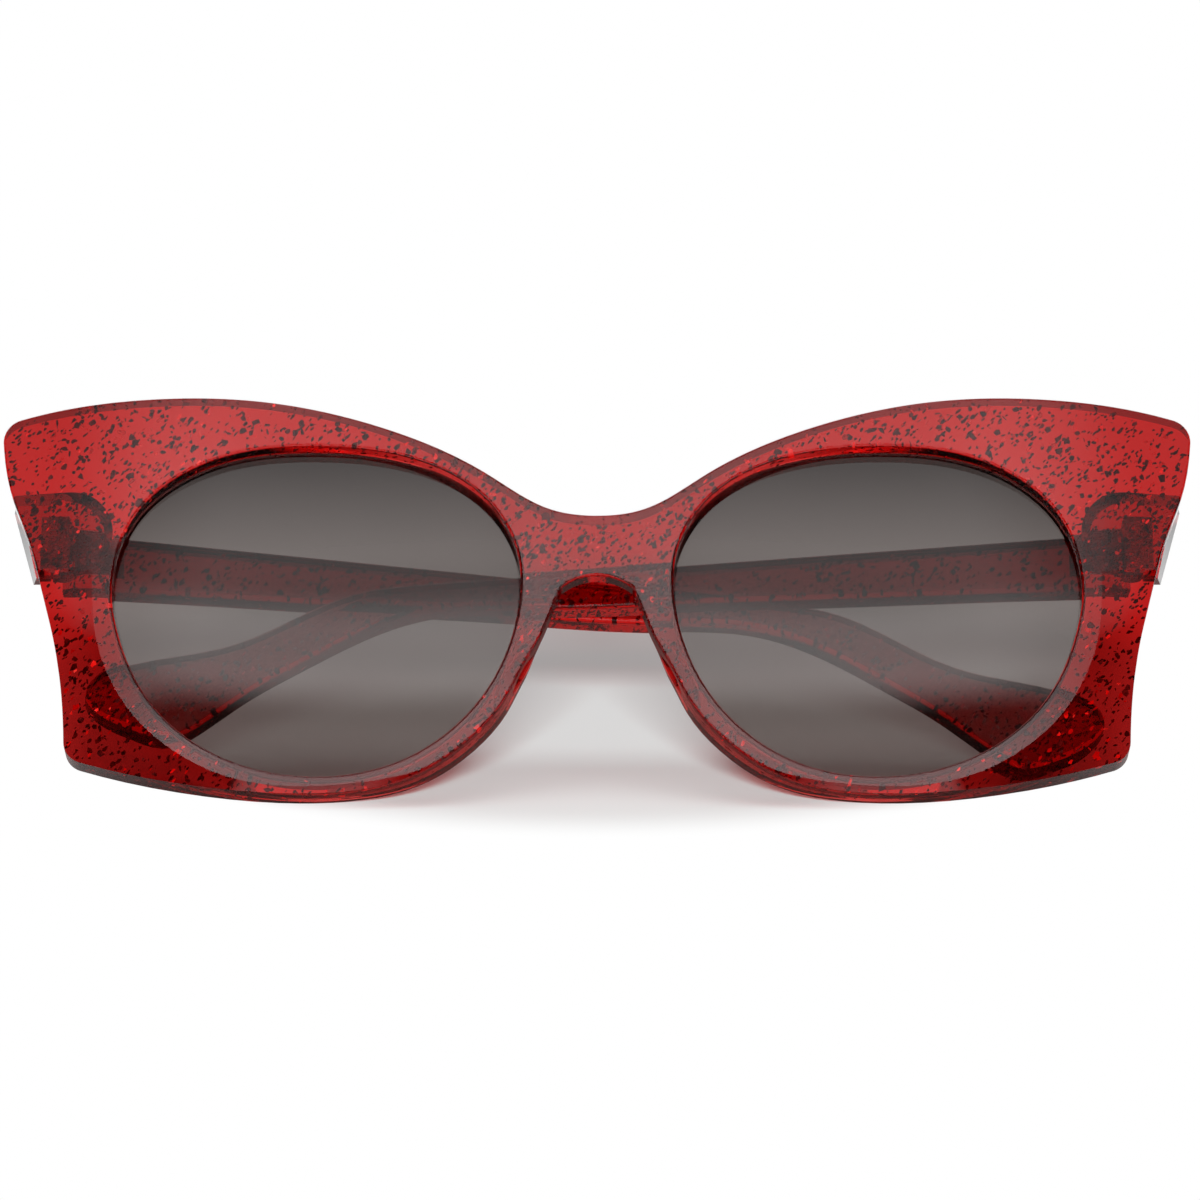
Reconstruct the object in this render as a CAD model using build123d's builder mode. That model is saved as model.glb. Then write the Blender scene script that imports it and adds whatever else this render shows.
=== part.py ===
from build123d import *
from math import cos, radians, sin
import os

# Butterfly sunglasses, folded and standing on a table: the front leans back on the lower edge
# of its rims and on the tip of the temple that lies behind.
# Sizes are millimetres, angles are degrees. Right is +X, the side on the viewer's right hand.
# The front has its own directions: across it (X), up it (rise) and behind it (depth).

# Driving dimensions of the whole
half_width = 75.3
brow_height = 28.95
rim_drop = 23.75
plate_thickness = 4.4
lean = 30.0
temple_length = 131.3
temple_thickness = 4.2
tail_drop = 14.1
cut_overrun = 3.0

# Front: curve of the plate in plan, a gentle arc before each eye and a counter arc at the nose
eye_centre = 35.3
crest_offset = 37.0
crest_radius = 260.0
bridge_joint = 10.0
bridge_back = 7.8
bridge_flat = 5.7
bridge_blend = 33.0
wing_corner_radius = 2.9
front_edge_radius = 0.3
hole_edge_radius = 0.3
face_tolerance = 0.02

# Front: outline, each point as shares of half_width and of brow_height or rim_drop
bridge_top = 13.7
brow_shares = [(0.078, 0.501), (0.184, 0.656), (0.351, 0.853), (0.555, 0.978), (0.758, 1.0), (0.894, 0.967)]
upper_corner_share = (1.0, 0.905)
side_shares = [
    (0.997, 0.777), (0.983, 0.587), (0.951, 0.362), (0.927, 0.138),
    (0.905, -0.105), (0.890, -0.375), (0.883, -0.644),
]
lower_corner_share = (0.882, -0.772)
rim_shares = [
    (0.778, -0.874), (0.677, -0.943), (0.545, -0.994), (0.478, -1.0), (0.345, -0.947), (0.279, -0.859),
    (0.2125, -0.699), (0.150, -0.455), (0.119, -0.253), (0.0943, -0.1095), (0.0744, 0.0397),
]
arch_corner_share = (0.0592, 0.136)
arch_height = 5.6

# Front: the saddle behind the nose arch, opened further back than in front
arch_land = 2.5
saddle_height = 9.2
saddle_corner_share = (0.081, 0.19)
saddle_side_shares = [(0.096, 0.045), (0.108, -0.11)]

# Front: lens holes, each point as shares of the hole's half width and half height
hole_half_width = 25.45
hole_half_height = 21.95
hole_rise = 0.35
hole_shares = [
    (0.990, -0.016), (0.990, 0.3075), (0.888, 0.604), (0.468, 0.936), (0.016, 1.0), (-0.440, 0.941),
    (-0.853, 0.6765), (-1.002, 0.3235), (-0.994, -0.011), (-0.829, -0.494), (-0.420, -0.904),
    (-0.010, -1.0), (0.401, -0.904), (0.778, -0.579),
]

# Lenses and the groove that holds them
lens_setback = 1.6
lens_radius = 260.0
lens_thickness = 1.2
groove_depth = 0.5
lens_clearance = 0.05

# Front: the lower wing slopes back outside a crease that follows the rim.
# Each place holds the crease point, the edge point (shares as in the outline) and the drop there.
wing_relief = 0.95
relief_shares = [
    ((0.841, 0.207), (0.932, 0.221), 0.03),
    ((0.838, 0.0), (0.912, -0.017), 0.26),
    ((0.825, -0.21), (0.895, -0.286), 0.53),
    ((0.802, -0.387), (0.887, -0.530), 0.79),
    ((0.770, -0.547), (0.879, -0.783), 1.0),
    ((0.730, -0.682), (0.7915, -0.863), 0.84),
    ((0.679, -0.804), (0.704, -0.926), 0.63),
    ((0.591, -0.926), (0.595, -0.981), 0.47),
    ((0.465, -0.964), (0.465, -1.0), 0.37),
    ((0.345, -0.918), (0.341, -0.948), 0.26),
    ((0.243, -0.768), (0.239, -0.778), 0.12),
]
relief_reach = 1.6
relief_front = 2.0

# Nose pads, moulded on the back of the rims
pad_offset = 10.6
pad_fall = 6.2
pad_half_width = 1.7
pad_half_length = 6.0
pad_turn = 27.0
pad_back = 8.6
pad_draft = 10.0

# Hinge line: one on each side, along the rise of the front
pin_inset = 7.85
pin_depth = 10.5
hinge_rise = 11.2
open_angle = 92.0
right_fold_tilt = -1.7
left_fold_tilt = 2.7

# Hinge: knuckles, leaves and screw
knuckle_radius = 1.3
front_knuckle = 2.2
temple_knuckle = 2.3
knuckle_gap = 0.1
screw_radius = 0.65
pin_clearance = 0.05
screw_head_radius = 1.1
screw_head_height = 0.7
screw_slot_width = 0.35
screw_slot_depth = 0.35
anchor_inner = 0.9
anchor_outer = 2.6
anchor_depth = 3.5
leaf_seat = 1.5
leaf_clearance = 0.05
temple_leaf_length = 7.4
temple_leaf_height = 5.0
temple_leaf_thickness = 0.9
temple_leaf_neck = 1.7
temple_leaf_proud = 0.2

# Lug behind each wing, which carries the hinge
lug_bottom = 7.4
lug_top = 17.0
lug_round_inset = 12.7
lug_low_inset = 3.8
lug_high_inset = 1.1
lug_side_inset = 0.75
lug_depth = 10.3
lug_draft = 1.6
lug_side_draft = 0.8
lug_root = 0.4
recess_margin = 0.15

# Temples: hinge end, and the outline as shares of temple_length and of tail_drop
temple_top = 14.87
temple_bottom = 7.02
temple_gap = 0.6
butt_gap = 0.1
hinge_relief_radius = 1.5
temple_edge_radius = 0.55
tail_low_share = 0.922
temple_top_shares = [(0.2, 0.872), (0.42, 0.6915), (0.6, 0.544), (0.70, 0.461)]
tail_shares = [
    (0.742, 0.397), (0.796, 0.184), (0.861, -0.106), (0.929, -0.248), (0.967, -0.33), (0.9925, -0.46),
    (1.0, -0.63), (0.987, -0.80), (0.957, -0.93), (tail_low_share, -1.0), (0.886, -0.83), (0.842, -0.53),
    (0.800, -0.298), (0.7235, 0.078), (0.670, 0.234), (0.571, 0.266),
]
temple_low_shares = [(0.434, 0.319), (0.29, 0.376), (0.152, 0.438)]

# Places of the hinge line and of the lug's round side, from the middle of the front
pin_offset = half_width - pin_inset
lug_round_offset = half_width - lug_round_inset

# Directions of the front, and where its datum point stands
across = Vector(1, 0, 0)
rise = Vector(0, sin(radians(lean)), cos(radians(lean)))
backward = Vector(0, cos(radians(lean)), -sin(radians(lean)))
temple_back = temple_gap + temple_thickness
tail_depth = pin_depth + temple_back + temple_length * tail_low_share * sin(radians(left_fold_tilt))
rim_lift = rim_drop * rise.Z - plate_thickness * backward.Z
tail_lift = tail_drop * rise.Z - tail_depth * backward.Z
front_reach = -rim_drop * rise.Y
back_reach = temple_top * rise.Y + (pin_depth + temple_back) * backward.Y
datum = Vector(0, -(front_reach + back_reach) / 2, max(rim_lift, tail_lift))
plan_plane = Plane(origin=datum, x_dir=across, z_dir=rise)


def face_plane(depth):
    return Plane(origin=datum + backward * depth, x_dir=across, z_dir=-backward)


def front_depth(offset):
    from_crest = abs(offset) - crest_offset
    if abs(offset) >= bridge_joint:
        return from_crest**2 / (2 * crest_radius)
    joint_depth = (bridge_joint - crest_offset) ** 2 / (2 * crest_radius)
    counter_radius = bridge_joint * crest_radius / (crest_offset - bridge_joint)
    return joint_depth + (bridge_joint**2 - offset**2) / (2 * counter_radius)


def spot(shares):
    reach = brow_height if shares[1] > 0 else rim_drop
    return (half_width * shares[0], reach * shares[1])


def mirrored(points):
    return [(-x, y) for x, y in reversed(points)]


def plan_arc(first, last, depth):
    middle = (first + last) / 2
    return ThreePointArc(
        (first, front_depth(first) + depth),
        (middle, front_depth(middle) + depth),
        (last, front_depth(last) + depth),
    )


# Plan section of the front, thickened behind the nose
def front_section():
    reach = half_width + cut_overrun
    with BuildSketch(plan_plane) as section:
        with BuildLine():
            plan_arc(bridge_joint, reach, 0)
            plan_arc(-bridge_joint, bridge_joint, 0)
            plan_arc(-reach, -bridge_joint, 0)
            plan_arc(bridge_blend, reach, plate_thickness)
            plan_arc(-reach, -bridge_blend, plate_thickness)
            for side in (1, -1):
                blend_depth = front_depth(bridge_blend) + plate_thickness
                Line((side * reach, front_depth(reach)), (side * reach, front_depth(reach) + plate_thickness))
                Spline(
                    (side * bridge_flat, bridge_back),
                    (side * bridge_blend, blend_depth),
                    tangents=[(side, 0), (side, (bridge_blend - crest_offset) / crest_radius)],
                )
            Line((-bridge_flat, bridge_back), (bridge_flat, bridge_back))
        make_face()
    return section.sketch


# Outline of the front as seen square on
def front_outline():
    brow = [spot(share) for share in brow_shares]
    sides = [spot(share) for share in side_shares]
    rims = [spot(share) for share in rim_shares]
    upper = spot(upper_corner_share)
    lower = spot(lower_corner_share)
    arch = spot(arch_corner_share)
    with BuildSketch(face_plane(0)) as outline:
        with BuildLine():
            Spline(*mirrored([*brow, upper]), (0, bridge_top), *brow, upper)
            Spline(upper, *sides, lower)
            Spline(lower, *rims, arch)
            Spline(*mirrored([upper, *sides, lower]))
            Spline(*mirrored([lower, *rims, arch]))
            ThreePointArc(arch, (0, arch_height), (-arch[0], arch[1]))
        make_face()
    return outline.sketch


# Nose arch: its front shape, and the wider shape that it opens to at the back of the bridge
def arch_profile(depth, peak, corner, side_points):
    with BuildSketch(face_plane(depth)) as profile:
        with BuildLine():
            ThreePointArc(corner, (0, peak), (-corner[0], corner[1]))
            Spline(corner, *side_points)
            Spline(*mirrored([corner, *side_points]))
            Line(side_points[-1], (-side_points[-1][0], side_points[-1][1]))
        make_face()
    return profile.sketch


# Lens hole of the right side, widened by a margin
def hole_profile(margin, depth):
    half_x = hole_half_width + margin
    half_y = hole_half_height + margin
    points = [(eye_centre + half_x * x, hole_rise + half_y * y) for x, y in hole_shares]
    with BuildSketch(face_plane(depth)) as profile:
        with BuildLine():
            Spline(*points, periodic=True)
        make_face()
    return profile.sketch


# Place of the right lens: a shell between two balls, cut to the hole widened by a margin.
# The depths are those at the middle of the curve.
def lens_body(margin, near, far):
    ball_centre = datum + across * crest_offset + backward * (lens_radius + lens_setback)
    with BuildPart() as body:
        with Locations(ball_centre):
            Sphere(lens_radius + lens_setback - near)
            Sphere(lens_radius + lens_setback - far, mode=Mode.SUBTRACT)
        extrude(hole_profile(margin, 0), amount=plate_thickness + cut_overrun, both=True, mode=Mode.INTERSECT)
    return body.part


# Wedge that lowers the right wing outside the crease
def wing_wedge():
    with BuildPart() as wedge:
        for crease_share, edge_share, drop_share in relief_shares:
            crease = Vector(*spot(crease_share))
            edge = Vector(*spot(edge_share))
            way = (edge - crease).normalized()
            width = (edge - crease).length
            start_depth = front_depth(crease.X)
            end_depth = front_depth(edge.X) + wing_relief * drop_share
            slope = (end_depth - start_depth) / width
            far_depth = end_depth + slope * relief_reach
            origin = datum + across * crease.X + rise * crease.Y
            direction = across * way.X + rise * way.Y
            station = Plane(origin=origin, x_dir=direction, z_dir=direction.cross(backward))
            with BuildSketch(station):
                with BuildLine():
                    Polyline(
                        (0, start_depth),
                        (width + relief_reach, far_depth),
                        (width + relief_reach, start_depth - relief_front),
                        close=True,
                    )
                make_face()
        loft()
    return wedge.part


# Lug: a D whose round side faces the nose, drawn in towards its back
def lug_profile(depth, spread):
    drawn = lug_side_draft * spread
    high = (half_width - lug_high_inset - lug_side_inset * spread, lug_top + drawn)
    low = (half_width - lug_low_inset - lug_side_inset * spread, lug_bottom - drawn)
    half_height = (high[1] - low[1]) / 2
    round_start = lug_round_offset - lug_draft * spread + half_height
    with BuildSketch(face_plane(depth)) as profile:
        with BuildLine():
            Line(high, (round_start, high[1]))
            ThreePointArc(
                (round_start, high[1]),
                (round_start - half_height, (high[1] + low[1]) / 2),
                (round_start, low[1]),
            )
            Line((round_start, low[1]), low)
            Line(low, high)
        make_face()
    return profile.sketch


def hinge_lug():
    recess_edge = pin_offset + knuckle_radius + recess_margin
    root_depth = plate_thickness + front_depth(pin_offset) - lug_root
    with BuildPart() as lug:
        loft([lug_profile(root_depth, 1), lug_profile(lug_depth, 0)], ruled=True)
        with BuildSketch(face_plane(pin_depth - leaf_seat)):
            with Locations((recess_edge, (lug_top + lug_bottom) / 2)):
                Rectangle(
                    recess_edge - lug_round_offset + cut_overrun,
                    lug_top - lug_bottom + cut_overrun,
                    align=(Align.MAX, Align.CENTER),
                )
        extrude(amount=-(lug_depth - pin_depth + leaf_seat + cut_overrun), mode=Mode.SUBTRACT)
    return lug.part


# Whole height of the hinge, and the stretch along the pin of each knuckle
hinge_height = 2 * front_knuckle + temple_knuckle + 2 * knuckle_gap
hinge_low = hinge_rise - hinge_height / 2
hinge_high = hinge_rise + hinge_height / 2


def pin_plane(height):
    return Plane(
        origin=datum + across * pin_offset + backward * pin_depth + rise * height,
        x_dir=across,
        z_dir=rise,
    )


# Block of the front leaf that is sunk in the lug, widened by a margin
def anchor_block(margin):
    with BuildPart() as block:
        with BuildSketch(pin_plane(hinge_low - margin)):
            with Locations((-anchor_inner - margin, -leaf_seat)):
                Rectangle(
                    anchor_inner + anchor_outer + 2 * margin,
                    anchor_depth - leaf_seat + margin,
                    align=(Align.MIN, Align.MAX),
                )
        extrude(amount=hinge_height + 2 * margin)
    return block.part


# Tells if an edge lies on the curved face of the front
def on_front_face(edge):
    places = [edge @ share - datum for share in (0, 1 / 3, 1 / 2, 2 / 3, 1)]
    return all(abs(place.dot(backward) - front_depth(place.X)) < face_tolerance for place in places)


# Tells if an edge of the front face bounds a lens hole
def around_hole(edge):
    height = abs((edge.center() - datum).dot(rise))
    return edge.length > 2 * hole_half_width and height < hole_half_height + hole_rise


# Front frame
arch_front = [spot(share) for share in (rim_shares[10], rim_shares[9], rim_shares[8])]
saddle_sides = [spot(share) for share in (*saddle_side_shares, rim_shares[8])]
groove_near = lens_setback - lens_clearance
groove_far = lens_setback + lens_thickness + lens_clearance
arch_start = front_depth(0) + arch_land
right_groove = lens_body(groove_depth, groove_near, groove_far)
right_hole = extrude(hole_profile(0, 0), amount=bridge_back + cut_overrun, both=True)
right_wedge = wing_wedge()
right_lug = hinge_lug()
right_anchor_pocket = anchor_block(leaf_clearance)

with BuildPart() as front_frame:
    extrude(front_section(), amount=brow_height + cut_overrun, both=True)
    extrude(front_outline(), amount=bridge_back + cut_overrun, both=True, mode=Mode.INTERSECT)
    corner_edges = front_frame.edges().filter_by(Axis((0, 0, 0), tuple(backward)))
    corner_edges = [edge for edge in corner_edges if abs(edge.center().X) > bridge_blend]
    fillet(corner_edges, radius=wing_corner_radius)
    face_edges = [edge for edge in front_frame.edges() if on_front_face(edge)]
    fillet([edge for edge in face_edges if edge.geom_type != GeomType.LINE], radius=front_edge_radius)
    loft(
        [
            arch_profile(arch_start, arch_height, spot(arch_corner_share), arch_front),
            arch_profile(bridge_back + cut_overrun, saddle_height, spot(saddle_corner_share), saddle_sides),
        ],
        ruled=True,
        mode=Mode.SUBTRACT,
    )
    add(right_wedge, mode=Mode.SUBTRACT)
    mirror(right_wedge, about=Plane.YZ, mode=Mode.SUBTRACT)
    with BuildSketch(face_plane(plate_thickness)):
        for side in (1, -1):
            with Locations((side * pad_offset, -pad_fall)):
                Ellipse(pad_half_width, pad_half_length, rotation=side * pad_turn)
    extrude(amount=-(pad_back - plate_thickness), taper=pad_draft)
    add(right_lug)
    mirror(right_lug, about=Plane.YZ)
    add(right_hole, mode=Mode.SUBTRACT)
    mirror(right_hole, about=Plane.YZ, mode=Mode.SUBTRACT)
    face_edges = [edge for edge in front_frame.edges() if on_front_face(edge)]
    fillet([edge for edge in face_edges if around_hole(edge)], radius=hole_edge_radius)
    add(right_groove, mode=Mode.SUBTRACT)
    mirror(right_groove, about=Plane.YZ, mode=Mode.SUBTRACT)
    add(right_anchor_pocket, mode=Mode.SUBTRACT)
    mirror(right_anchor_pocket, about=Plane.YZ, mode=Mode.SUBTRACT)

# Lenses
with BuildPart() as right_lens:
    add(lens_body(groove_depth - lens_clearance, lens_setback, lens_setback + lens_thickness))

with BuildPart() as left_lens:
    mirror(right_lens.part, about=Plane.YZ)

# Front hinge leaves
with BuildPart() as right_front_hinge_leaf:
    add(anchor_block(0))
    for low in (hinge_low, hinge_high - front_knuckle):
        with BuildSketch(pin_plane(low)):
            Circle(knuckle_radius)
            Rectangle(2 * anchor_inner, leaf_seat, align=(Align.CENTER, Align.MAX))
        extrude(amount=front_knuckle)
    with BuildSketch(pin_plane(hinge_low)):
        Circle(screw_radius + pin_clearance)
    extrude(amount=hinge_height, mode=Mode.SUBTRACT)

with BuildPart() as left_front_hinge_leaf:
    mirror(right_front_hinge_leaf.part, about=Plane.YZ)

# Hinge screws
with BuildPart() as right_hinge_screw:
    with BuildSketch(pin_plane(hinge_low)):
        Circle(screw_radius)
    extrude(amount=hinge_height)
    with BuildSketch(pin_plane(hinge_high)):
        Circle(screw_head_radius)
    extrude(amount=screw_head_height)
    with BuildSketch(pin_plane(hinge_high + screw_head_height)):
        Rectangle(2 * screw_head_radius, screw_slot_width)
    extrude(amount=-screw_slot_depth, mode=Mode.SUBTRACT)

with BuildPart() as left_hinge_screw:
    mirror(right_hinge_screw.part, about=Plane.YZ)


# Frame of a folded temple hinged on the right: X along it, Y up the front, Z away from the lenses.
# A positive tilt carries the tail further back.
def temple_plane(tilt, standoff):
    along = across * -cos(radians(tilt)) + backward * sin(radians(tilt))
    outward = backward * cos(radians(tilt)) + across * sin(radians(tilt))
    origin = datum + across * pin_offset + backward * pin_depth + outward * standoff
    return Plane(origin=origin, x_dir=along, z_dir=outward)


# Plane across the pin, with X along the folded temple and Y away from the lenses
def pivot_plane(tilt, height):
    home = temple_plane(tilt, 0)
    return Plane(origin=home.origin + rise * height, x_dir=home.x_dir, z_dir=-rise)


def temple_leaf(tilt, margin):
    plate_near = temple_gap - temple_leaf_proud
    with BuildPart() as leaf:
        with BuildSketch(temple_plane(tilt, plate_near)):
            with Locations((temple_leaf_neck - margin, hinge_rise)):
                Rectangle(
                    temple_leaf_length - temple_leaf_neck + 2 * margin,
                    temple_leaf_height + 2 * margin,
                    align=(Align.MIN, Align.CENTER),
                )
            with Locations((0, hinge_rise)):
                Rectangle(temple_leaf_neck, temple_knuckle + 2 * margin, align=(Align.MIN, Align.CENTER))
        extrude(amount=temple_leaf_thickness + margin)
    return leaf.part


def temple_hinge_leaf(tilt):
    knuckle_low = hinge_rise - temple_knuckle / 2
    knuckle_high = hinge_rise + temple_knuckle / 2
    with BuildPart() as leaf:
        add(temple_leaf(tilt, 0))
        with BuildSketch(pivot_plane(tilt, knuckle_high)):
            Circle(knuckle_radius)
        extrude(amount=knuckle_high - knuckle_low)
        with BuildSketch(pivot_plane(tilt, knuckle_high)):
            Circle(screw_radius + pin_clearance)
        extrude(amount=knuckle_high - knuckle_low, mode=Mode.SUBTRACT)
    return leaf.part


def temple_outline(tilt):
    shares = [*temple_top_shares, *tail_shares, *temple_low_shares]
    points = [(temple_length * along, tail_drop * up) for along, up in shares]
    with BuildSketch(temple_plane(tilt, temple_gap)) as outline:
        with BuildLine():
            Spline((-cut_overrun, temple_top), *points, (-cut_overrun, temple_bottom))
            Line((-cut_overrun, temple_bottom), (-cut_overrun, temple_top))
        make_face()
    return outline.sketch


def temple(tilt):
    home = temple_plane(tilt, 0)
    butt_normal = home.x_dir * sin(radians(open_angle)) + home.z_dir * cos(radians(open_angle))
    butt_plane = Plane(origin=home.origin - butt_normal * butt_gap, z_dir=butt_normal)
    with BuildPart() as arm:
        extrude(temple_outline(tilt), amount=temple_thickness)
        fillet(arm.edges().filter_by(GeomType.BSPLINE), radius=temple_edge_radius)
        split(bisect_by=butt_plane, keep=Keep.TOP)
        with BuildSketch(pivot_plane(tilt, temple_top + cut_overrun)):
            Circle(hinge_relief_radius)
        extrude(amount=temple_top - temple_bottom + 2 * cut_overrun, mode=Mode.SUBTRACT)
        add(temple_leaf(tilt, leaf_clearance), mode=Mode.SUBTRACT)
    return arm.part


# Temples and their hinge leaves
with BuildPart() as right_temple:
    add(temple(right_fold_tilt))

with BuildPart() as left_temple:
    mirror(temple(left_fold_tilt), about=Plane.YZ)

with BuildPart() as right_temple_hinge_leaf:
    add(temple_hinge_leaf(right_fold_tilt))

with BuildPart() as left_temple_hinge_leaf:
    mirror(temple_hinge_leaf(left_fold_tilt), about=Plane.YZ)

pieces = {
    "front_frame": front_frame,
    "right_lens": right_lens,
    "left_lens": left_lens,
    "right_front_hinge_leaf": right_front_hinge_leaf,
    "left_front_hinge_leaf": left_front_hinge_leaf,
    "right_hinge_screw": right_hinge_screw,
    "left_hinge_screw": left_hinge_screw,
    "right_temple": right_temple,
    "left_temple": left_temple,
    "right_temple_hinge_leaf": right_temple_hinge_leaf,
    "left_temple_hinge_leaf": left_temple_hinge_leaf,
}

os.makedirs("parts", exist_ok=True)
for name, piece in pieces.items():
    piece.part.label = name
    export_step(piece.part, f"parts/{name}.step")
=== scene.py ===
"""Butterfly sunglasses in clear red plastic with glitter, folded on a white table.

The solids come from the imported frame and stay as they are. This script gives them their
materials and casts glitter flakes inside the plastic. Lengths are metres throughout.
"""

import math

import bpy
import numpy as np
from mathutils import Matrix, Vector
from mathutils.bvhtree import BVHTree


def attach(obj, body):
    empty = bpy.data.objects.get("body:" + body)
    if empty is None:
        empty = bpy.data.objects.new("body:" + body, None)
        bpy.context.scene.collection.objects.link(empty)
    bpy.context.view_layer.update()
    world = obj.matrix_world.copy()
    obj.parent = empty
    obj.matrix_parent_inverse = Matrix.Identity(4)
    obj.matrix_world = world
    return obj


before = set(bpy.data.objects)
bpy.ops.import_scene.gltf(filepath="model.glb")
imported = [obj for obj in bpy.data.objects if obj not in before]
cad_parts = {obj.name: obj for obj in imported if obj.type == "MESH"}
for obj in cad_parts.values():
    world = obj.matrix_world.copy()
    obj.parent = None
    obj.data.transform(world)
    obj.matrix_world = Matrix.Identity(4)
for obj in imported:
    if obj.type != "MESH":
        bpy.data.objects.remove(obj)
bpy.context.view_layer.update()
scene = bpy.context.scene

MM = 0.001

# The front's own directions, and a point of its plate: it leans back by this much
LEAN = math.radians(30)
PLATE_POINT = Vector((0.0, -4.4051, 22.7681)) * MM
ACROSS = Vector((1.0, 0.0, 0.0))
RISE = Vector((0.0, math.sin(LEAN), math.cos(LEAN)))
BACKWARD = Vector((0.0, math.cos(LEAN), -math.sin(LEAN)))

# The photograph's view: 0.15 m wide at the object, from 10 degrees above
CAMERA_PLACE = Vector((0.375, -791.99, 163.16)) * MM
CAMERA_TARGET = Vector((0.375, -4.145, 24.245)) * MM
CAMERA_LENS = 192.0
CAMERA_SENSOR = 36.0
CAMERA_CLIP_NEAR = 0.01
CAMERA_CLIP_FAR = 50.0

# Lamps: place, target, width and height, and watts. The camera and the reflections miss them.
WHITE = (1.0, 1.0, 1.0)
LAMPS = {
    "overhead": ((0.0, 0.0, 0.70), (0.0, 0.0, 0.0), (0.55, 0.50), 1.0),
    "front_key": ((0.0, -0.86, 0.275), (0.0, 0.0, 0.01), (0.22, 0.06), 12.5),
}

# The studio as reflections see it, in degrees of elevation and of azimuth from the front.
# Each pair of angles is a soft edge, from the dim side to the bright side.
WORLD_FILL = 0.25
STUDIO_DARK = 0.015
BOX_FOOT = (43.0, 46.0)
BOX_SIDE = (74.0, 60.0)
BOX_MIDDLE = (28.0, 12.0)
BOX_MIDDLE_LEVELS = (0.38, 2.0)
BOX_LOW_PART = (52.0, 48.8)
BOX_LOW_PART_LEVELS = (0.66, 1.35)
SWEEP_SIDE = (96.0, 112.0)
TABLE_BAND = (15.0, 9.0)

# The white table
FLOOR_HALF = 6.0
FLOOR_COLOUR = (0.86, 0.855, 0.85)
FLOOR_GRAIN_SCALE = 900.0
FLOOR_GRAIN_STRENGTH = 0.04
FLOOR_GRAIN_DEPTH = 0.0001

# The ground close behind the front is grey in the photograph and washes out to white around it.
# These soft edges are measured in half widths and half depths of the grey patch.
GREY_CENTRE = (0.0, 0.050, 0.0)
GREY_HALF_WIDTH = 0.095
GREY_HALF_DEPTH = 0.116
SEEN_EDGE = (0.57, 0.72)
MIRRORED_EDGE = (0.70, 1.2)

# Painted shadow: mirrored in the undersides, the ground right under the front is painted dark in place of
# its shadow
UNDER_SHADE_COLOUR = (0.30, 0.15, 0.14)
UNDER_SHADE_EDGE = (1.1, 0.75)

# Clear red plastic
PLASTIC_ABSORBS = (0.14, 0.98, 1.0)
PLASTIC_DENSITY = 1060.0
PLASTIC_INDEX = 1.49
PLASTIC_TINTS = ((1.0, 0.90, 0.89), (0.93, 0.80, 0.78))
PLASTIC_ROUGHNESS = (0.008, 0.035)
PLASTIC_LAMP_TINT = (0.80, 0.24, 0.23)
CLOUD_SCALE = 55.0
CLOUD_EDGE = (0.35, 0.7)
WIPE_STRETCH = (1.0, 9.0, 4.0)
WIPE_SCALE = 240.0
WIPE_EDGE = (0.35, 0.8)
SWELL_SCALE = 70.0
SWELL_STRENGTH = 0.10
SWELL_DEPTH = 0.00006

# Smoke lenses, darker at the top: heights along the front's rise, from the plate point
LENS_FOOT = -21.0 * MM
LENS_TOP = 21.0 * MM
LENS_FOOT_COLOUR = (0.38, 0.325, 0.305)
LENS_TOP_COLOUR = (0.040, 0.031, 0.029)
LENS_INDEX = 1.45
LENS_LAMP_TINT = (0.60, 0.58, 0.58)
LENS_ROUGHNESS = (0.0, 0.02)
PATCH_SCALE = 60.0
PATCH_HEIGHT = 0.0012
SMEAR_SCALE = 130.0
SMEAR_EDGE = (0.4, 0.8)

# Brushed steel of the hinges
STEEL_COLOURS = ((0.52, 0.51, 0.50), (0.38, 0.36, 0.34))
STEEL_ROUGHNESS = (0.22, 0.42)
BRUSH_STRETCH = (1.0, 6.0, 1.0)
BRUSH_SCALE = 2500.0
BRUSH_EDGE = (0.3, 0.7)
BRUSH_STRENGTH = 0.25
BRUSH_DEPTH = 0.00003
STAIN_SCALE = 420.0
STAIN_EDGE = (0.4, 0.7)

# Glitter: name, node it is cast in, body, number of flakes, least and greatest radius
GLITTER = [
    ("front_glitter", "front_frame", "front", 3600, (0.26 * MM, 0.62 * MM)),
    ("right_arm_glitter", "right_temple", "right_arm", 1000, (0.25 * MM, 0.56 * MM)),
    ("left_arm_glitter", "left_temple", "left_arm", 1000, (0.25 * MM, 0.56 * MM)),
]
SEED = 37
# Share of flakes whose foil is a painted glint: a much lighter copy of the foil that stands in for flakes
# catching the light
GLINT_PAINTED_SHARE = 0.13
FLAKE_THICKNESS = 0.03 * MM

# A flake has 5 to 8 corners, each at a share of its radius, and is up to this much longer
# than wide. The powers make small and short flakes the most common.
FLAKE_CORNERS = (5, 9)
FLAKE_WOBBLE = (0.45, 1.2)
FLAKE_STRETCH = 2.2
FLAKE_STRETCH_POWER = 1.3
FLAKE_SIZE_POWER = 2

# How strongly the flakes lie along the plate, and their room to its walls as a share of a radius
FLAKE_LAY = 2.4
FLAKE_MARGIN = 0.75

# Foil of the flakes: light and dark colour, metallic share and roughness
FOILS = {
    "dark_foil": ((0.13, 0.018, 0.018), (0.05, 0.008, 0.008), 0.4, 0.4),
    # The second foil is a painted glint, far lighter than the first, in place of light caught by the flakes
    "glint_painted_foil": ((1.0, 0.16, 0.12), (0.9, 0.05, 0.04), 0.35, 0.3),
}
FOIL_SCALE = 1500.0
FOIL_COLOUR_EDGE = (0.35, 0.65)
FOIL_ROUGH_EDGE = (0.3, 0.7)
FOIL_ROUGH_SHARES = (0.8, 1.3)

# Ray casting: two slanted directions, a step past each wall, and the most walls to count
PROBES = (Vector((0.231, 0.317, 0.919)), Vector((-0.613, 0.471, -0.634)))
PROBE_STEP = 1e-7
PROBE_WALLS = 40


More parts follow.
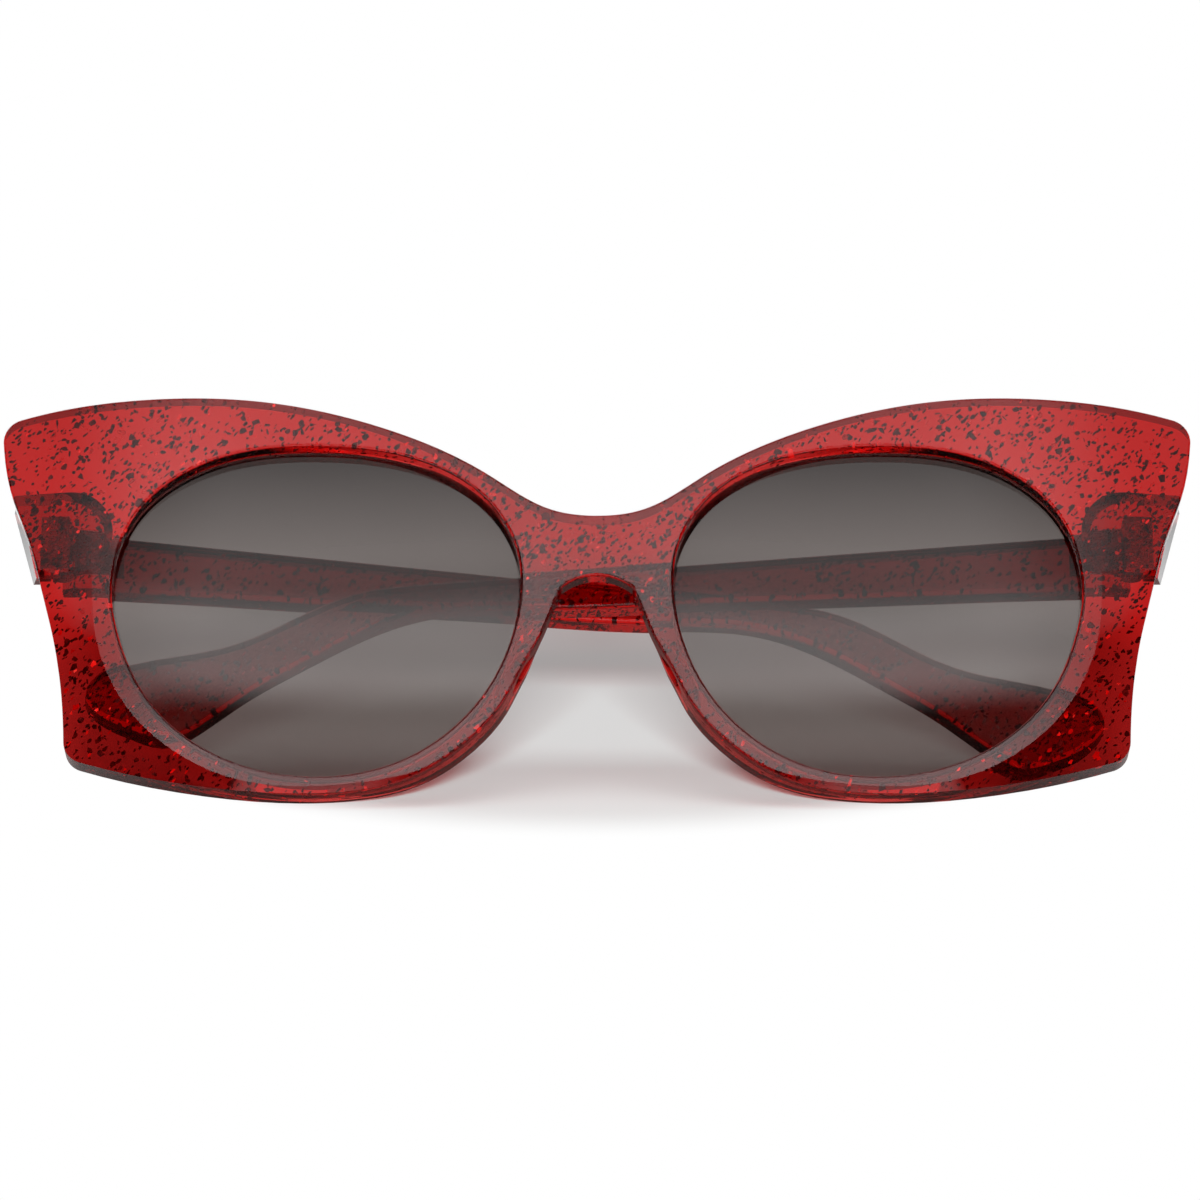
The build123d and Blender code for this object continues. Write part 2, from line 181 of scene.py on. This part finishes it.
class Tree:
    """Short hand for building node trees."""

    def __init__(self, tree):
        self.tree = tree
        self.tree.nodes.clear()

    def add(self, kind, settings=None, **inputs):
        """Adds a node; an input is named with _ for a space, or i0, i1 and so on by place."""
        node = self.tree.nodes.new(kind)
        for key, value in (settings or {}).items():
            setattr(node, key, value)
        for key, value in inputs.items():
            self.put(node, key, value)
        return node

    def put(self, node, key, value):
        by_place = key[0] == "i" and key[1:].isdigit()
        socket = node.inputs[int(key[1:])] if by_place else node.inputs[key.replace("_", " ")]
        if isinstance(value, bpy.types.NodeSocket):
            self.tree.links.new(value, socket)
        elif hasattr(socket.default_value, "__len__") and len(socket.default_value) == 4 and len(value) == 3:
            socket.default_value = (*value, 1.0)
        else:
            socket.default_value = value

    def maths(self, operation, a, b=0.0, c=0.0):
        return self.add("ShaderNodeMath", {"operation": operation}, i0=a, i1=b, i2=c).outputs[0]

    def vector(self, operation, a, b):
        return self.add("ShaderNodeVectorMath", {"operation": operation}, i0=a, i1=b).outputs[0]

    def step(self, value, low, high, out_low=0.0, out_high=1.0):
        """A soft step of value between low and high."""
        node = self.add(
            "ShaderNodeMapRange", {"interpolation_type": "SMOOTHSTEP"},
            Value=value, From_Min=low, From_Max=high, To_Min=out_low, To_Max=out_high,
        )
        return node.outputs[0]

    def mix(self, share, first, second):
        return self.add("ShaderNodeMix", {"data_type": "FLOAT"}, i0=share, i2=first, i3=second).outputs[0]

    def mix_colours(self, share, first, second):
        return self.add("ShaderNodeMix", {"data_type": "RGBA"}, i0=share, i6=first, i7=second).outputs[2]

    def noise(self, place, scale, detail, **inputs):
        return self.add("ShaderNodeTexNoise", Vector=place, Scale=scale, Detail=detail, **inputs).outputs[0]

    def bump(self, height, strength, depth):
        return self.add("ShaderNodeBump", Height=height, Strength=strength, Distance=depth).outputs[0]

    def place(self):
        return self.add("ShaderNodeTexCoord").outputs["Object"]


def new_material(name):
    """A material with an empty node tree, and the tree."""
    material = bpy.data.materials.new(name)
    material.use_nodes = True
    return material, Tree(material.node_tree)


def aimed(name, data, place, target):
    """An object at place that looks at target."""
    thing = bpy.data.objects.new(name, data)
    thing.location = place
    thing.rotation_mode = "QUATERNION"
    thing.rotation_quaternion = (Vector(target) - Vector(place)).to_track_quat("-Z", "Y")
    scene.collection.objects.link(thing)
    return thing


def make_camera():
    data = bpy.data.cameras.new("view")
    data.lens = CAMERA_LENS
    data.sensor_width = CAMERA_SENSOR
    data.clip_start = CAMERA_CLIP_NEAR
    data.clip_end = CAMERA_CLIP_FAR
    scene.camera = aimed("view", data, CAMERA_PLACE, CAMERA_TARGET)


def make_lamp(name, place, target, size, watts):
    data = bpy.data.lights.new(name, "AREA")
    data.shape = "RECTANGLE"
    data.size, data.size_y = size
    data.energy = watts
    data.color = WHITE
    lamp = aimed(name, data, place, target)
    lamp.visible_glossy = False
    lamp.visible_transmission = False
    lamp.visible_camera = False


def make_world():
    """White to the camera, a studio to reflections, and an even fill to the rest."""
    world = bpy.data.worlds.new("studio")
    world.use_nodes = True
    scene.world = world
    t = Tree(world.node_tree)
    ray = t.add("ShaderNodeTexCoord").outputs["Generated"]
    x, y, z = t.add("ShaderNodeSeparateXYZ", Vector=ray).outputs
    elevation = t.maths("DEGREES", t.maths("ARCSINE", z))
    azimuth = t.maths("ABSOLUTE", t.maths("DEGREES", t.maths("ARCTAN2", x, t.maths("MULTIPLY", y, -1.0))))
    # A large soft box over the front, brightest in the middle of its lower edge
    box = t.maths("MULTIPLY", t.step(elevation, *BOX_FOOT), t.step(azimuth, *BOX_SIDE))
    middle = t.step(azimuth, *BOX_MIDDLE, *BOX_MIDDLE_LEVELS)
    low_part = t.step(elevation, *BOX_LOW_PART, *BOX_LOW_PART_LEVELS)
    box = t.maths("MULTIPLY", box, t.maths("MULTIPLY", middle, low_part))
    # The white sweep behind, and what it lights near the table
    sweep = t.step(azimuth, *SWEEP_SIDE)
    band = t.step(elevation, *TABLE_BAND)
    bright = t.maths("MAXIMUM", box, t.maths("MAXIMUM", sweep, band))
    studio = t.maths("MULTIPLY_ADD", bright, 1.0 - STUDIO_DARK, STUDIO_DARK)
    path = t.add("ShaderNodeLightPath").outputs
    mirrored = t.maths("MAXIMUM", path["Is Glossy Ray"], path["Is Transmission Ray"])
    level = t.mix(path["Is Camera Ray"], t.mix(mirrored, WORLD_FILL, studio), 1.0)
    background = t.add("ShaderNodeBackground", Color=WHITE, Strength=level)
    t.add("ShaderNodeOutputWorld", Surface=background.outputs[0])


def floor_material():
    """White, but for the soft grey patch behind the front, which takes light and shadow, and a painted
    shadow under the front that only glossy reflections see.
    """
    material, t = new_material("white_table")
    place = t.place()
    grain = t.bump(t.noise(place, FLOOR_GRAIN_SCALE, detail=3.0), FLOOR_GRAIN_STRENGTH, FLOOR_GRAIN_DEPTH)
    from_centre = t.vector("SUBTRACT", place, GREY_CENTRE)
    flat = t.vector("MULTIPLY", from_centre, (1 / GREY_HALF_WIDTH, 1 / GREY_HALF_DEPTH, 0.0))
    away = t.add("ShaderNodeVectorMath", {"operation": "LENGTH"}, i0=flat).outputs["Value"]
    path = t.add("ShaderNodeLightPath").outputs
    glossy, through = path["Is Glossy Ray"], path["Is Transmission Ray"]
    seen = t.maths("MULTIPLY", t.step(away, *SEEN_EDGE), path["Is Camera Ray"])
    mirrored = t.maths("MULTIPLY", t.step(away, *MIRRORED_EDGE), t.maths("MAXIMUM", glossy, through))
    only_glossy = t.maths("MULTIPLY", glossy, t.maths("SUBTRACT", 1.0, through))
    # Painted shadow: glossy reflections see the ground near the front darkened to the under colour
    painted_under_shade = t.maths("MULTIPLY", t.step(away, *UNDER_SHADE_EDGE), only_glossy)
    colour = t.mix_colours(painted_under_shade, FLOOR_COLOUR, UNDER_SHADE_COLOUR)
    lit = t.add("ShaderNodeBsdfDiffuse", Color=colour, Normal=grain)
    glow = t.add("ShaderNodeEmission", Color=WHITE, Strength=1.0)
    share = t.maths("MAXIMUM", seen, mirrored)
    both = t.add("ShaderNodeMixShader", i0=share, i1=lit.outputs[0], i2=glow.outputs[0])
    t.add("ShaderNodeOutputMaterial", Surface=both.outputs[0])
    return material


def make_floor():
    corners = [(x * FLOOR_HALF, y * FLOOR_HALF, 0) for x, y in ((-1, -1), (1, -1), (1, 1), (-1, 1))]
    mesh = bpy.data.meshes.new("floor")
    mesh.from_pydata(corners, [], [(0, 1, 2, 3)])
    floor = bpy.data.objects.new("floor", mesh)
    scene.collection.objects.link(floor)
    mesh.materials.append(floor_material())


def with_lamps(t, shader, tint):
    """Lets lamps through a clear piece, tinted, so that what is behind it is lit."""
    path = t.add("ShaderNodeLightPath").outputs
    through = t.add("ShaderNodeBsdfTransparent", Color=tint).outputs[0]
    both = t.add("ShaderNodeMixShader", i0=path["Is Shadow Ray"], i1=shader, i2=through)
    return both.outputs[0]


def plastic_material(name):
    """Clear plastic, dyed red in its depth, faintly clouded, with wipe marks and slow swells."""
    material, t = new_material(name)
    place = t.place()
    cloud = t.step(t.noise(place, CLOUD_SCALE, detail=3.0), *CLOUD_EDGE)
    wipe = t.noise(t.vector("MULTIPLY", place, WIPE_STRETCH), WIPE_SCALE, detail=5.0, Roughness=0.6)
    body = t.add(
        "ShaderNodeBsdfPrincipled",
        Base_Color=t.mix_colours(cloud, *PLASTIC_TINTS),
        Roughness=t.step(wipe, *WIPE_EDGE, *PLASTIC_ROUGHNESS),
        Normal=t.bump(t.noise(place, SWELL_SCALE, detail=1.0), SWELL_STRENGTH, SWELL_DEPTH),
        Transmission_Weight=1.0,
        IOR=PLASTIC_INDEX,
    )
    passed = tuple(1.0 - share for share in PLASTIC_ABSORBS)
    dye = t.add("ShaderNodeVolumeAbsorption", Color=passed, Density=PLASTIC_DENSITY)
    surface = with_lamps(t, body.outputs[0], PLASTIC_LAMP_TINT)
    t.add("ShaderNodeOutputMaterial", Surface=surface, Volume=dye.outputs[0])
    return material


def lens_material(name):
    """Smoke plastic that darkens upwards, a little unevenly, with faint smears."""
    material, t = new_material(name)
    place = t.place()
    dot = t.add("ShaderNodeVectorMath", {"operation": "DOT_PRODUCT"}, i0=place, i1=tuple(RISE))
    patches = t.noise(place, PATCH_SCALE, detail=2.0)
    height = t.maths("MULTIPLY_ADD", patches, PATCH_HEIGHT, dot.outputs["Value"])
    middle = PLATE_POINT.dot(RISE)
    share = t.add(
        "ShaderNodeMapRange", Value=height, From_Min=middle + LENS_FOOT, From_Max=middle + LENS_TOP
    ).outputs[0]
    body = t.add(
        "ShaderNodeBsdfPrincipled",
        Base_Color=t.mix_colours(share, LENS_FOOT_COLOUR, LENS_TOP_COLOUR),
        Roughness=t.step(t.noise(place, SMEAR_SCALE, detail=4.0), *SMEAR_EDGE, *LENS_ROUGHNESS),
        Transmission_Weight=1.0,
        IOR=LENS_INDEX,
    )
    t.add("ShaderNodeOutputMaterial", Surface=with_lamps(t, body.outputs[0], LENS_LAMP_TINT))
    return material


def steel_material(name):
    """Steel with fine brush lines and dull stains."""
    material, t = new_material(name)
    place = t.place()
    lines = t.noise(t.vector("MULTIPLY", place, BRUSH_STRETCH), BRUSH_SCALE, detail=3.0)
    stain = t.step(t.noise(place, STAIN_SCALE, detail=3.0), *STAIN_EDGE)
    body = t.add(
        "ShaderNodeBsdfPrincipled",
        Base_Color=t.mix_colours(stain, *STEEL_COLOURS),
        Roughness=t.step(lines, *BRUSH_EDGE, *STEEL_ROUGHNESS),
        Normal=t.bump(lines, BRUSH_STRENGTH, BRUSH_DEPTH),
        Metallic=1.0,
    )
    t.add("ShaderNodeOutputMaterial", Surface=body.outputs[0])
    return material


def foil_material(name, light, dark, metallic, roughness):
    """Painted foil whose colour and gloss vary from flake to flake."""
    material, t = new_material(name)
    vary = t.noise(t.place(), FOIL_SCALE, detail=2.0)
    rough_range = [roughness * share for share in FOIL_ROUGH_SHARES]
    body = t.add(
        "ShaderNodeBsdfPrincipled",
        Base_Color=t.mix_colours(t.step(vary, *FOIL_COLOUR_EDGE), dark, light),
        Roughness=t.step(vary, *FOIL_ROUGH_EDGE, *rough_range),
        Metallic=metallic,
    )
    t.add("ShaderNodeOutputMaterial", Surface=body.outputs[0])
    return material


def inside(tree, point):
    """Counts the walls along two slanted lines to tell if point is in the solid."""
    for probe in PROBES:
        way = probe.normalized()
        at = Vector(point)
        walls = 0
        while walls < PROBE_WALLS:
            hit = tree.ray_cast(at, way)[0]
            if hit is None:
                break
            walls += 1
            at = hit + way * PROBE_STEP
        if walls % 2 == 0:
            return False
    return True


def draw_flake(rng, spans, sizes):
    """Draws one flake's centre, radius, stretch, turn, corners and whether it gets the painted glint."""
    shares = rng.random(3)
    steps = [d * (s[0] + k * (s[1] - s[0])) for d, s, k in zip((ACROSS, RISE, BACKWARD), spans, shares)]
    centre = sum(steps, Vector())
    radius = sizes[0] + (sizes[1] - sizes[0]) * rng.random() ** FLAKE_SIZE_POWER
    stretch = 1.0 + FLAKE_STRETCH * rng.random() ** FLAKE_STRETCH_POWER
    turn = Vector(rng.normal(size=3))
    wobble = rng.uniform(*FLAKE_WOBBLE, int(rng.integers(*FLAKE_CORNERS)))
    # bright marks a flake for the painted glint foil
    bright = rng.random() < GLINT_PAINTED_SHARE
    return centre, radius, stretch, turn, wobble, bright


def add_flake(verts, faces, centre, radius, stretch, turn, wobble):
    """Adds a thin plate with uneven corners, lying mostly along the front."""
    normal = (BACKWARD * FLAKE_LAY + turn).normalized()
    side = normal.orthogonal().normalized()
    up = normal.cross(side)
    first = len(verts)
    count = len(wobble)
    for way in (-1, 1):
        for k in range(count):
            angle = 2 * math.pi * k / count
            r = radius * wobble[k]
            along = side * (math.cos(angle) * r)
            rising = up * (math.sin(angle) * r / stretch)
            verts.append(centre + along + rising + normal * (way * FLAKE_THICKNESS / 2))
    faces.append([first + k for k in reversed(range(count))])
    faces.append([first + count + k for k in range(count)])
    for k in range(count):
        after = (k + 1) % count
        faces.append([first + k, first + after, first + count + after, first + count + k])


def make_flakes(name, node, body, count, sizes, seed, foils):
    """Irregular little foil chips, cast inside the plastic of a node."""
    rng = np.random.default_rng(seed)
    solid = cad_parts[node].data
    tree = BVHTree.FromPolygons([v.co for v in solid.vertices], [p.vertices for p in solid.polygons])
    # The node's reach in the front's own directions, so that few tries miss the plate
    spans = []
    for direction in (ACROSS, RISE, BACKWARD):
        reach = [v.co.dot(direction) for v in solid.vertices]
        spans.append((min(reach), max(reach)))
    verts, faces, looks = [], [], []
    made = 0
    while made < count:
        centre, radius, stretch, turn, wobble, bright = draw_flake(rng, spans, sizes)
        gap = tree.find_nearest(centre)[3]
        if gap < radius * FLAKE_MARGIN or not inside(tree, centre):
            continue
        add_flake(verts, faces, centre, radius, stretch, turn, wobble)
        # Flakes drawn for the painted glint take the second foil
        looks += [int(bright)] * (len(faces) - len(looks))
        made += 1
    mesh = bpy.data.meshes.new(name)
    mesh.from_pydata(verts, [], faces)
    for foil in foils:
        mesh.materials.append(foil)
    mesh.polygons.foreach_set("material_index", looks)
    mesh.update()
    piece = bpy.data.objects.new(name, mesh)
    scene.collection.objects.link(piece)
    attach(piece, body)


def dress(node, material):
    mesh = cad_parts[node].data
    mesh.materials.clear()
    mesh.materials.append(material)


def dress_nodes():
    dress("front_frame", plastic_material("front_plastic"))
    for side in ("right", "left"):
        dress(side + "_temple", plastic_material(side + "_arm_plastic"))
        dress(side + "_lens", lens_material(side + "_smoke"))
        steel = steel_material(side + "_steel")
        for part in ("_front_hinge_leaf", "_temple_hinge_leaf", "_hinge_screw"):
            dress(side + part, steel)


scene.view_settings.view_transform = "Standard"
make_camera()
make_world()
make_floor()
for lamp_name, lamp_values in LAMPS.items():
    make_lamp(lamp_name, *lamp_values)

dress_nodes()
painted = [foil_material(foil_name, *foil_values) for foil_name, foil_values in FOILS.items()]
for index, (name, node, body, count, sizes) in enumerate(GLITTER):
    make_flakes(name, node, body, count, sizes, SEED + index, painted)
